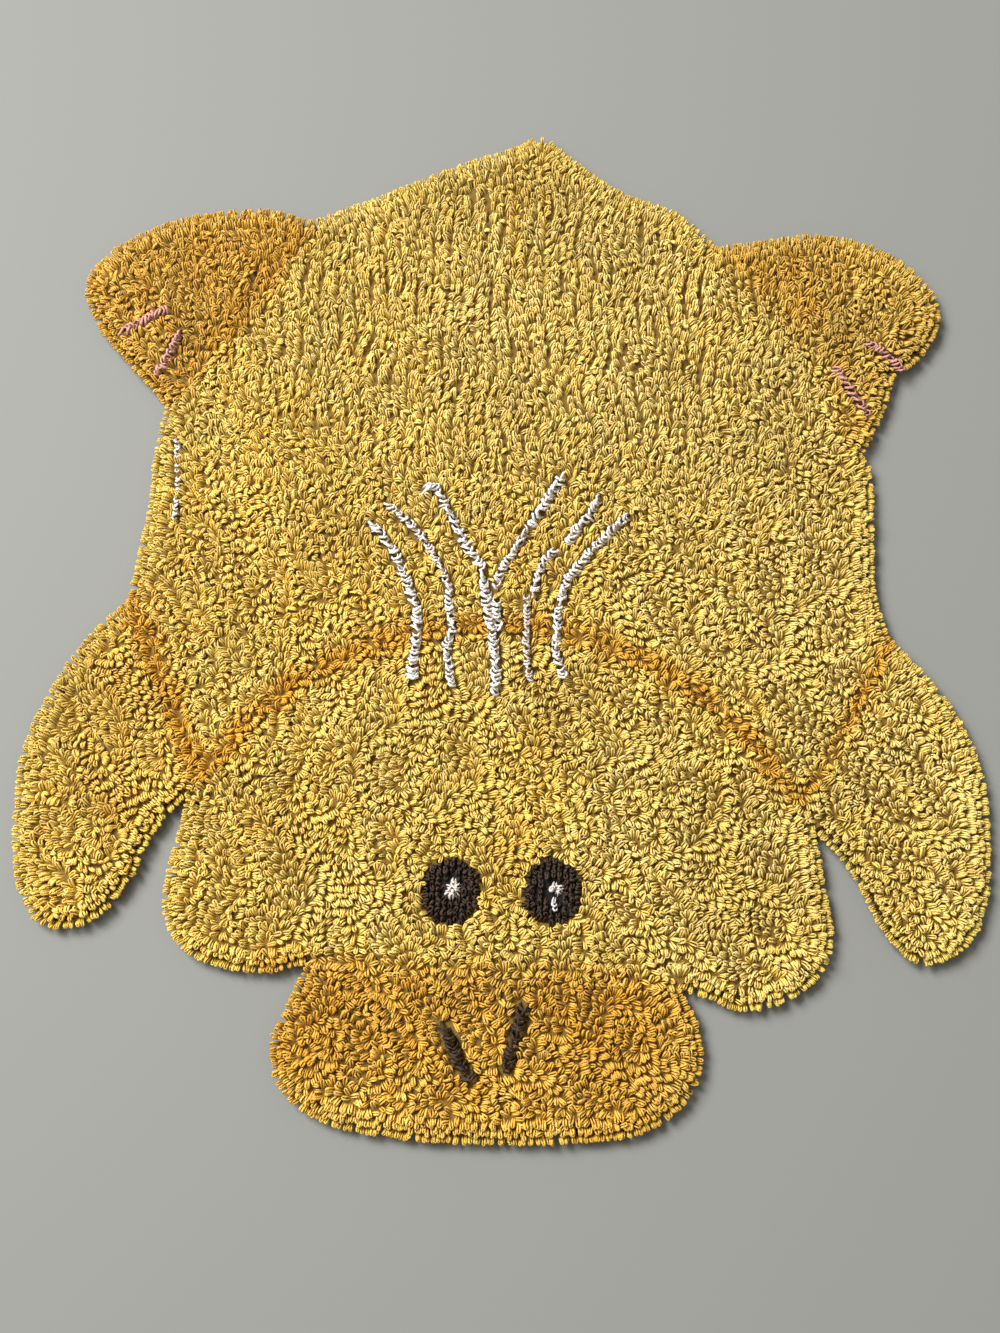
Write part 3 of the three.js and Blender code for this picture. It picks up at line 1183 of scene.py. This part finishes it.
    def filled(self, loops: Loops, kept_free: Ground) -> Loops:
        """Fill the rug with loops round those already laid.

        A loop goes where none of the strands laid is near. Once there is no such place left, more go
        over the holes that still show between strands. Each turn adds at most one loop to each cell
        of a grid that moves about, and none near the cell's sides, so that no two are laid together.

        Args:
            loops: The loops already laid.
            kept_free: Where no loop may go.

        Returns:
            All the loops.
        """
        low, high = self.edge.min(0), self.edge.max(0)
        near, cover = Ground(low, high), Ground(low, high)
        near.full |= kept_free.full | self.edge_room.full
        cover.full |= near.full
        more, all_loops = loops, [loops]
        for ground in [near] * self.turns + [cover] * self.cover_turns:
            middle = self.shape.centreline(more)[0]
            middle = np.concatenate([middle, (middle[:, 1:] + middle[:, :-1]) / 2], axis=1)
            strands = middle[middle[..., 2] > self.strands_above][:, :2]
            near.mark(strands, self.apart)
            cover.mark(strands, self.hole)
            slip = self.rng.uniform(0, self.cell, 2)
            places = self.rng.uniform(low, high, (self.tries, 2))
            inner = ((places + slip) % self.cell > self.cell_side).all(axis=1)
            places = places[inner & ground.free(places)]
            places = places[self.off_grooves(places)]
            _, first = np.unique(((places + slip) // self.cell).astype(int), axis=0, return_index=True)
            places = places[first]
            more = self.field_loops(places[within(places, self.edge)])
            all_loops.append(more)
        sizes = [len(more.root) for more in all_loops]
        rim, field_end = sizes[0], self.turns + 1
        log.info("%d loops at the rim, %d in the field, %d over holes",
                 rim, sum(sizes[1:field_end]), sum(sizes[field_end:]))
        return Loops.joined(all_loops)

    def row_loops(self, row: Row) -> Loops:
        """Lay one row of another yarn. A wide row has thicker yarn.

        Args:
            row: The row.

        Returns:
            Its loops, tinted.
        """
        places, angle = row.stitches()
        count, rng = len(places), self.rng
        places = places + rng.normal(0, row.scatter, places.shape)
        lean_to = angle + row.swings.draw(rng, count)
        plane = angle + np.pi / 2 + row.slants.draw(rng, count)
        loops = self.lay(places, plane, lean_to, row.leans.draw(rng, count))
        loops.shade[:, 0] = row.tint + row.tints.draw(rng, count)
        half = row.half * row.halves.draw(rng, count)
        yarn = loops.yarn * (row.yarn + row.yarn_by_half * row.half)
        base, height = loops.base + row.lift, loops.height * row.tall
        return replace(loops, half=half, base=base, yarn=yarn, height=height)

    def spot_loops(self, spot: Spot) -> Loops:
        """Lay the columns of an oval spot. The loops near its rim lean inwards.

        Args:
            spot: The spot.

        Returns:
            Its loops.
        """
        places = spot.stitches(self.rng)
        count, rng = len(places), self.rng
        lean_to = np.pi / 2 * rng.choice((1, -1), count) + spot.swings.draw(rng, count)
        inward = spot.middle - places
        far = np.linalg.norm(inward / spot.radii, axis=1)
        lean_to = np.where(far > spot.inward_from, np.arctan2(inward[:, 1], inward[:, 0]), lean_to)
        plane = lean_to + np.pi / 2 + spot.slants.draw(rng, count)
        loops = self.lay(places, plane, lean_to, spot.leans.draw(rng, count))
        height, half, yarn = loops.height * spot.tall, loops.half * spot.wide, loops.yarn * spot.yarn
        return replace(loops, height=height, half=half, yarn=yarn)

    def dyed_and_shaded(self, loops: Loops) -> Loops:
        """Colour loops for the places where they show: dye, lightness, and painted shade in the grooves.

        Args:
            loops: The loops.

        Returns:
            The same loops with their warmth and lightness.
        """
        shade = loops.shade.copy()
        shade[:, 0] = self.dye.warmth(loops.shown, self.rng)
        # painted shade: the loops along each groove are made darker
        side = self.beside_groove(loops.shown)
        groove = np.exp(-((side / self.groove_shade_reach) ** 2)) * self.order(loops.shown)
        shade[:, 1] = self.dye.lightness(loops.shown, self.rng) - self.groove_shade * groove
        return replace(loops, shade=shade)

    def motif(self) -> dict[str, list[Loops]]:
        """Lay the eyes, the nostrils and the lines in other yarns, and mark their room.

        Returns:
            Sets of loops by the piece's name.
        """
        found: dict[str, list[Loops]] = {}
        for row in ROWS:
            loops = self.row_loops(row)
            found.setdefault(row.piece, []).append(loops.take(within(loops.root, self.edge)))
            self.room.mark(loops.shown, row.half + self.row_clear)
        for spot in SPOTS:
            loops = self.spot_loops(spot)
            loops = loops.take(self.room.free(loops.shown))
            self.room.mark(loops.shown, self.spot_clear)
            found.setdefault(spot.piece, []).append(loops)
            for size in np.arange(0, 1, self.ring_step):
                self.room.mark(spot.ring(size), self.ring_clear)
        return found

    def pieces(self) -> dict[str, Loops]:
        """Lay the whole rug and share its loops out.

        Returns:
            The loops of every piece, by the piece's name.
        """
        found = self.motif()
        rim = self.rim()
        rim = rim.take(self.room.free(rim.shown))
        pile = self.dyed_and_shaded(self.filled(rim, self.room))
        for name in ("neck_line", "wing_lines"):
            line = np.vstack([seam.line() for seam in SEAMS if seam.name == name])
            near = gaps(pile.shown, line) < self.line_half
            found[name] = [pile.take(near)]
            pile = pile.take(~near)
        zone = zones(pile.shown)
        for which in Zone:
            found[f"{which.value}_pile"] = [pile.take(zone == which)]
        for name, cuts, sides in PARTS:
            whole = found.pop(f"{name}_pile")[0]
            part = np.digitize(whole.shown[:, 0], cuts)
            for number, side in enumerate(sides):
                found[f"{name}_pile_{side}"] = [whole.take(part == number)]
        return {name: Loops.joined(sets) for name, sets in found.items()}


class Value:
    """A number that changes over a surface, which can be used in plain sums."""

    def __init__(self, graph: "Graph", socket: bpy.types.NodeSocket) -> None:
        """Wrap an output socket of a graph."""
        self.graph = graph
        self.socket = socket

    def maths(self, operation: str, *others: "Value | float", clamp: bool = False) -> "Value":
        """Return the result of a Math node on this value and others."""
        return self.graph.maths(operation, self, *others, clamp=clamp)

    def __add__(self, other: "Value | float") -> "Value":
        """Return the sum."""
        return self.maths("ADD", other)

    __radd__ = __add__

    def __mul__(self, other: "Value | float") -> "Value":
        """Return the product."""
        return self.maths("MULTIPLY", other)

    __rmul__ = __mul__

    def __sub__(self, other: "Value | float") -> "Value":
        """Return the difference."""
        return self.maths("SUBTRACT", other)

    def __rsub__(self, other: float) -> "Value":
        """Return a number less this value."""
        return self.graph.maths("SUBTRACT", other, self)


MIX_SHARE, MIX_FIRST, MIX_SECOND, MIX_COLOUR = 0, 6, 7, 2


class Graph:
    """The nodes of one material. A Mix node's colour sockets go by number, as its names repeat."""

    def __init__(self, name: str) -> None:
        """Start an empty material with that name."""
        self.material = bpy.data.materials.new(name)
        self.material.use_nodes = True
        self.tree = self.material.node_tree
        self.tree.nodes.clear()

    def node(
        self, kind: str, settings: dict | None = None, inputs: dict | None = None
    ) -> bpy.types.Node:
        """Add a node.

        Args:
            kind: The node's type.
            settings: Its own settings, set first. The key stops holds a colour ramp's stops.
            inputs: Values or links for its input sockets, by name or number.

        Returns:
            The node.
        """
        node = self.tree.nodes.new(kind)
        for name, value in (settings or {}).items():
            if name == "stops":
                self.set_stops(node.color_ramp, value)
            else:
                setattr(node, name, value)
        for name, value in (inputs or {}).items():
            self.feed(node.inputs[name], value)
        return node

    def feed(self, socket: bpy.types.NodeSocket, value: object) -> None:
        """Link a value to an input socket, or set the socket to a constant."""
        if isinstance(value, Value):
            self.tree.links.new(value.socket, socket)
        else:
            socket.default_value = value

    @staticmethod
    def set_stops(ramp: bpy.types.ColorRamp, stops: list[tuple[float, Colour]]) -> None:
        """Set a colour ramp's stops, in order of place."""
        while len(ramp.elements) < len(stops):
            ramp.elements.new(1.0)
        for element, (place, colour) in zip(ramp.elements, stops, strict=True):
            element.position = place
            element.color = (*colour, 1.0)

    def value(self, node: bpy.types.Node, output: str | int = 0) -> Value:
        """Return an output of a node as a value."""
        return Value(self, node.outputs[output])

    def maths(self, operation: str, *terms: Value | float, clamp: bool = False) -> Value:
        """Return the result of a Math node."""
        settings = {"operation": operation, "use_clamp": clamp}
        return self.value(self.node("ShaderNodeMath", settings, dict(enumerate(terms))))

    def axes(self, vector: Value) -> tuple[Value, Value, Value]:
        """Return the three numbers of a vector."""
        node = self.node("ShaderNodeSeparateXYZ", None, {0: vector})
        return self.value(node, 0), self.value(node, 1), self.value(node, 2)

    def noise(self, place: Value, scale: float, detail: float) -> Value:
        """Return noise from 0 to 1 at a place, with its scale in waves per metre."""
        inputs = {"Vector": place, "Scale": scale, "Detail": detail}
        return self.value(self.node("ShaderNodeTexNoise", None, inputs))

    def mixed(self, share: Value, first: Colour, second: Colour) -> Value:
        """Return a colour between two, by the second one's share."""
        inputs = {MIX_SHARE: share, MIX_FIRST: (*first, 1), MIX_SECOND: (*second, 1)}
        return self.value(self.node("ShaderNodeMix", {"data_type": "RGBA"}, inputs), MIX_COLOUR)

    def scaled(self, colour: Value, by: Value) -> Value:
        """Return a colour made lighter or darker."""
        node = self.node("ShaderNodeVectorMath", {"operation": "SCALE"}, {0: colour, "Scale": by})
        return self.value(node)

    def finish(self, surface: dict, height: Value, distance: float) -> bpy.types.Material:
        """Add the cloth's shader with a bump.

        Args:
            surface: Values or links for the shader's sockets.
            height: The height that the bump is made from.
            distance: How far a height of 1 stands up, in metres.

        Returns:
            The material.
        """
        bump = self.node("ShaderNodeBump", None, {"Height": height, "Distance": distance})
        shader = self.node("ShaderNodeBsdfPrincipled", None, {**surface, "Normal": self.value(bump)})
        self.node("ShaderNodeOutputMaterial", None, {"Surface": self.value(shader)})
        return self.material


@dataclass(frozen=True)
class YarnFinish:
    """Soft twisted cotton yarn. The colours run from pale dye to full dye.

    Low in the pile the colour holds painted shade, darker and more saturated, for the shade between
    the loops: painted shade low is how light the yarn still is there, and painted shade tint the tint
    that it has there. The painted shade is deepest below one height and fades to the full colour over
    another. Ply painted shade is the painted shade between the yarn's two plies.
    """

    name: str
    slot: str
    stops: tuple[tuple[float, Colour], ...]
    painted_shade_low: float = 0.72
    painted_shade_tint: Colour = (1.0, 1.0, 1.0)
    shine: float = 0.45
    ply_length: float = 3.4
    ply_depth: float = 0.35
    ply_painted_shade: float = 0.16
    ply_bump: float = 0.7
    fibre_bump: float = 0.5
    fibre_scale: float = 1500.0
    fibre_dark: float = 0.3
    fibre_tone: float = 0.22
    painted_shade_below: float = 4.0
    painted_shade_fades: float = 8.0
    roughness: float = 0.62
    sheen: float = 0.05

    def material(self) -> bpy.types.Material:
        """Build the material.

        The yarn's two plies wind round it, so their height is a sine of the way along the yarn plus
        the way round it. The colour is the dye at the loop's warmth, with painted shade between the plies
        and towards the root, and uneven from fibre to fibre.

        Returns:
            The material.
        """
        g = Graph(self.name)
        shade = g.node("ShaderNodeAttribute", {"attribute_name": "shade"})
        warmth, light, _ = g.axes(g.value(shade, "Vector"))
        round_it, along, _ = g.axes(g.value(g.node("ShaderNodeUVMap", {"uv_map": "yarn"})))
        place = g.value(g.node("ShaderNodeTexCoord"), "Object")
        high = g.axes(place)[2]
        fibre = g.noise(place, self.fibre_scale, 2.0)
        turns = along * (2 * np.pi / self.ply_length) + round_it * (4 * np.pi)
        ply = g.maths("SINE", turns) * 0.5 + 0.5
        rise = g.maths("MULTIPLY", high - self.painted_shade_below * MM, 1 / (self.painted_shade_fades * MM), clamp=True)
        tone = warmth + (fibre - 0.5) * self.fibre_tone
        ramp = g.node("ShaderNodeValToRGB", {"stops": self.stops}, {"Fac": tone})
        # painted shade: darker towards the root and in the valleys between the plies
        dark = (rise * (1 - self.painted_shade_low) + self.painted_shade_low) * (ply * self.ply_painted_shade + (1 - self.ply_painted_shade))
        # painted shade: a more saturated tint towards the root
        tint = g.mixed(rise, self.painted_shade_tint, (1.0, 1.0, 1.0))
        dyed_and_shaded = g.node("ShaderNodeVectorMath", {"operation": "MULTIPLY"}, {0: g.value(ramp), 1: tint})
        uneven = fibre * self.fibre_dark + (1 - self.fibre_dark / 2)
        surface = {
            "Base Color": g.scaled(g.value(dyed_and_shaded), light * dark * uneven),
            "Roughness": self.roughness,
            "Specular IOR Level": self.shine,
            "Sheen Weight": self.sheen,
            "Sheen Roughness": 0.5,
        }
        return g.finish(surface, ply * self.ply_bump + fibre * self.fibre_bump, self.ply_depth * MM)


YELLOW = YarnFinish(
    "yellow_cotton", "yellow_pile",
    (
        (0.0, (0.82, 0.62, 0.205)),
        (0.35, (0.82, 0.575, 0.127)),
        (0.7, (0.76, 0.462, 0.075)),
        (1.0, (0.68, 0.355, 0.025)),
    ),
    # the yellow's painted shade low in the pile: more saturated, almost without blue
    painted_shade_tint=(0.92, 0.88, 0.1),
)
GOLDEN = replace(YELLOW, name="golden_cotton", slot="golden_pile")
WHITE = YarnFinish(
    "white_cotton", "white_yarn",
    ((0.0, (0.75, 0.72, 0.70)), (1.0, (0.55, 0.42, 0.34))),
    painted_shade_low=0.7,
)
BROWN = YarnFinish(
    "brown_cotton", "brown_yarn",
    ((0.0, (0.037, 0.022, 0.014)), (1.0, (0.052, 0.031, 0.019))),
    painted_shade_low=0.55, shine=0.2, sheen=0.0,
)
PINK = YarnFinish(
    "pink_cotton", "pink_yarn",
    ((0.0, (0.54, 0.26, 0.21)), (1.0, (0.47, 0.23, 0.17))),
    painted_shade_low=0.6,
)

FINISHES = {
    **dict.fromkeys(("bill_pile", "left_foot_pile", "right_foot_pile", "neck_line", "wing_lines"), GOLDEN),
    **dict.fromkeys(("crest_lines", "edge_stitches", "eye_highlights"), WHITE),
    **dict.fromkeys(("eyes", "nostrils"), BROWN),
    "toe_lines": PINK,
}


@dataclass(frozen=True)
class Layer:
    """A flat layer of the rug, of one thickness, cut a fixed way inside the rug's edge."""

    name: str
    low: float
    high: float
    inset: float
    weave: float
    colour: Colour
    slack: float = 0.3
    kept_points: int = 3
    least_light: float = 0.8
    weave_painted_shade: float = 0.08
    fibre_light: float = 0.3
    thread_bump: float = 0.5
    fibre_bump: float = 0.3
    fibre_scale: float = 900.0
    weave_depth: float = 0.3
    roughness: float = 0.92

    def edge(self) -> np.ndarray:
        """Return the layer's edge, anticlockwise: the rug's, drawn in, with one point in three kept."""
        moved, _, sound = EDGE.drawn_in(self.inset, self.slack)
        return moved[sound][:: self.kept_points][::-1]

    def build(self) -> bpy.types.Object:
        """Make the layer."""
        piece = slab(self.name, [self.edge()], self.low, self.high)
        piece.data.materials.append(self.material())
        return piece

    def material(self) -> bpy.types.Material:
        """Build a plain weave: two crossing sets of threads, each as high as its sine.

        Returns:
            The material.
        """
        g = Graph(f"{self.name}_threads")
        place = g.value(g.node("ShaderNodeTexCoord"), "Object")
        x, y, _ = g.axes(place)
        turn = 2 * np.pi / (self.weave * MM)
        threads = g.maths("SINE", x * turn) * g.maths("SINE", y * turn)
        fibre = g.noise(place, self.fibre_scale, 2.0)
        colour = g.node("ShaderNodeRGB")
        colour.outputs[0].default_value = (*self.colour, 1)
        # painted shade: the weave is lighter on the threads' crests and darker between them
        shade = threads * self.weave_painted_shade + fibre * self.fibre_light + self.least_light
        surface = {"Base Color": g.scaled(g.value(colour), shade), "Roughness": self.roughness}
        height = threads * self.thread_bump + fibre * self.fibre_bump
        return g.finish(surface, height, self.weave_depth * MM)


BACKING = Layer("backing_cloth", 0.0, 1.5, 5.0, 1.3, (0.55, 0.40, 0.16))
# the pile bed stands for the loops' dense legs, coloured dark brown as painted shade in the gaps between
# them
SHADED_PILE_BED = Layer("pile_bed", 1.4, 7.8, 10.5, 2.6, (0.16, 0.088, 0.009))
EYE_BED_TOP, EYE_BED_INSET = 8.6, 1.5


def slab(name: str, edges: list[np.ndarray], low: float, high: float) -> bpy.types.Object:
    """Make flat closed slabs, filled inside each edge below and above, with a wall between.

    Args:
        name: The object's name.
        edges: Closed lines of points, in millimetres.
        low: The slabs' lower side.
        high: Their upper side.

    Returns:
        One object with all the slabs.
    """
    flat = bpy.data.curves.new("cut", "CURVE")
    flat.dimensions = "2D"
    flat.fill_mode = "BOTH"
    flat.extrude = (high - low) / 2 * MM
    for edge in edges:
        count = len(edge)
        spline = flat.splines.new("POLY")
        spline.points.add(count - 1)
        points = np.column_stack([edge * MM, np.zeros(count), np.ones(count)])
        spline.points.foreach_set("co", points.ravel())
        spline.use_cyclic_u = True
    pattern = bpy.data.objects.new("cut", flat)
    bpy.context.scene.collection.objects.link(pattern)
    mesh = bpy.data.meshes.new_from_object(pattern.evaluated_get(bpy.context.evaluated_depsgraph_get()))
    bpy.data.objects.remove(pattern)
    places = np.empty(len(mesh.vertices) * 3, np.float32)
    mesh.vertices.foreach_get("co", places)
    places[2::3] += (high + low) / 2 * MM
    mesh.vertices.foreach_set("co", places)
    mesh.name = name
    mesh.materials.clear()
    close_seams(mesh)
    piece = bpy.data.objects.new(name, mesh)
    bpy.context.scene.collection.objects.link(piece)
    return piece


def eye_bed() -> bpy.types.Object:
    """Make the dark bed under the loops of the two eyes."""
    eyes = [spot for spot in SPOTS if spot.piece == "eyes"]
    edges = [circle(48) * (np.array(eye.radii) - EYE_BED_INSET) + eye.middle for eye in eyes]
    return slab("eye_bed", edges, SHADED_PILE_BED.high, EYE_BED_TOP)


def close_seams(mesh: bpy.types.Mesh, apart: float = 1e-6) -> None:
    """Merge a mesh's doubled points and point its faces outwards.

    Args:
        mesh: The mesh.
        apart: How far apart two points may be and still count as one, in metres.
    """
    shell = bmesh.new()
    shell.from_mesh(mesh)
    bmesh.ops.remove_doubles(shell, verts=shell.verts, dist=apart)
    bmesh.ops.recalc_face_normals(shell, faces=shell.faces)
    shell.to_mesh(mesh)
    shell.free()


@dataclass(frozen=True)
class Studio:
    """A plain pale floor, soft light from the upper left, and the camera above the bill's side."""

    camera_place: Place = (0.0073, -0.3157, 1.066)
    camera_tilt: float = 14.0
    camera_turn: float = 3.0
    lens: float = 40.0
    floor_colour: Colour = (0.179, 0.182, 0.172)
    key_place: Place = (-4.65, 3.45, 5.85)
    key_size: float = 3.6
    key_power: float = 1270.0
    near_place: Place = (-0.95, 0.1, 1.3)
    near_size: float = 0.9
    near_power: float = 15.0
    near_aim: Place = (-0.35, 0.0, 0.0)
    sky: float = 0.45
    sky_colour: Colour = (1.0, 0.95, 0.80)

    def camera(self) -> None:
        """Place the camera at the photograph's angle and distance."""
        lens = bpy.data.cameras.new("camera")
        lens.lens = self.lens
        lens.sensor_width = 36.0
        lens.clip_start = 0.05
        eye = bpy.data.objects.new("camera", lens)
        eye.location = self.camera_place
        eye.rotation_euler = (np.radians(self.camera_tilt), 0, np.radians(self.camera_turn))
        bpy.context.scene.collection.objects.link(eye)
        bpy.context.scene.camera = eye

    def floor(self) -> None:
        """Lay a plain floor under the rug."""
        side = 3.0
        corners = np.array([[-side, -side, 0], [side, -side, 0], [side, side, 0], [-side, side, 0]])
        floor = mesh_object("floor", corners, np.array([[0, 1, 2, 3]]))
        g = Graph("pale_floor")
        surface = {"Base Color": (*self.floor_colour, 1), "Roughness": 0.9}
        shader = g.node("ShaderNodeBsdfPrincipled", None, surface)
        g.node("ShaderNodeOutputMaterial", None, {"Surface": g.value(shader)})
        floor.data.materials.append(g.material)

    def lamp(self, name: str, place: Place, size: float, power: float, aim_at: Place) -> None:
        """Hang a square lamp, turned to a point.

        Args:
            name: The lamp's name.
            place: Where it hangs.
            size: The length of its sides.
            power: Its power in watts.
            aim_at: The point that it is turned to.
        """
        lamp = bpy.data.lights.new(name, "AREA")
        lamp.size = size
        lamp.energy = power
        light = bpy.data.objects.new(name, lamp)
        light.location = place
        aim = np.array(aim_at) - place
        level = np.hypot(aim[0], aim[1])
        light.rotation_euler = (np.arctan2(level, -aim[2]), 0, np.arctan2(aim[1], aim[0]) - np.pi / 2)
        bpy.context.scene.collection.objects.link(light)

    def lights(self) -> None:
        """Hang a large soft light on the upper left and a small one by the left side, under a sky."""
        self.lamp("window", self.key_place, self.key_size, self.key_power, (0.0, 0.0, 0.0))
        self.lamp("near_left", self.near_place, self.near_size, self.near_power, self.near_aim)
        world = bpy.data.worlds.new("sky")
        world.use_nodes = True
        background = world.node_tree.nodes["Background"]
        background.inputs["Color"].default_value = (*self.sky_colour, 1)
        background.inputs["Strength"].default_value = self.sky
        bpy.context.scene.world = world
        bpy.context.scene.view_settings.view_transform = "Standard"


def main() -> None:
    """Build the studio and every piece of the rug, and report each piece of loops."""
    studio = Studio()
    studio.camera()
    studio.floor()
    studio.lights()
    tufting = Tufting()
    made: dict[str, bpy.types.Material] = {}
    piles, total = [], 0
    for name, loops in tufting.pieces().items():
        finish = FINISHES.get(name, YELLOW)
        if finish.name not in made:
            made[finish.name] = finish.material()
        piece = tufting.shape.mesh(name, loops)
        piece.data.materials.append(made[finish.name])
        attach(piece, BODY)
        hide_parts(SOLID)
        piles.append(piece)
        count = len(loops.root)
        total += count
        log.info("%s: %d loops, %d triangles", name, count, count * tufting.shape.triangles)
    log.info("%d loops in all", total)
    bed, cloth, dark = SHADED_PILE_BED.build(), BACKING.build(), eye_bed()
    dark.data.materials.append(made[BROWN.name])
    for layer, slot in ((bed, "yellow_pile"), (cloth, "backing_cloth"), (dark, "brown_yarn")):
        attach(layer, BODY)
        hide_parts(SOLID)
    piles += [bed, dark]
    edge = BACKING.edge() * MM
    bpy.context.view_layer.update()


if __name__ == "__main__":
    main()
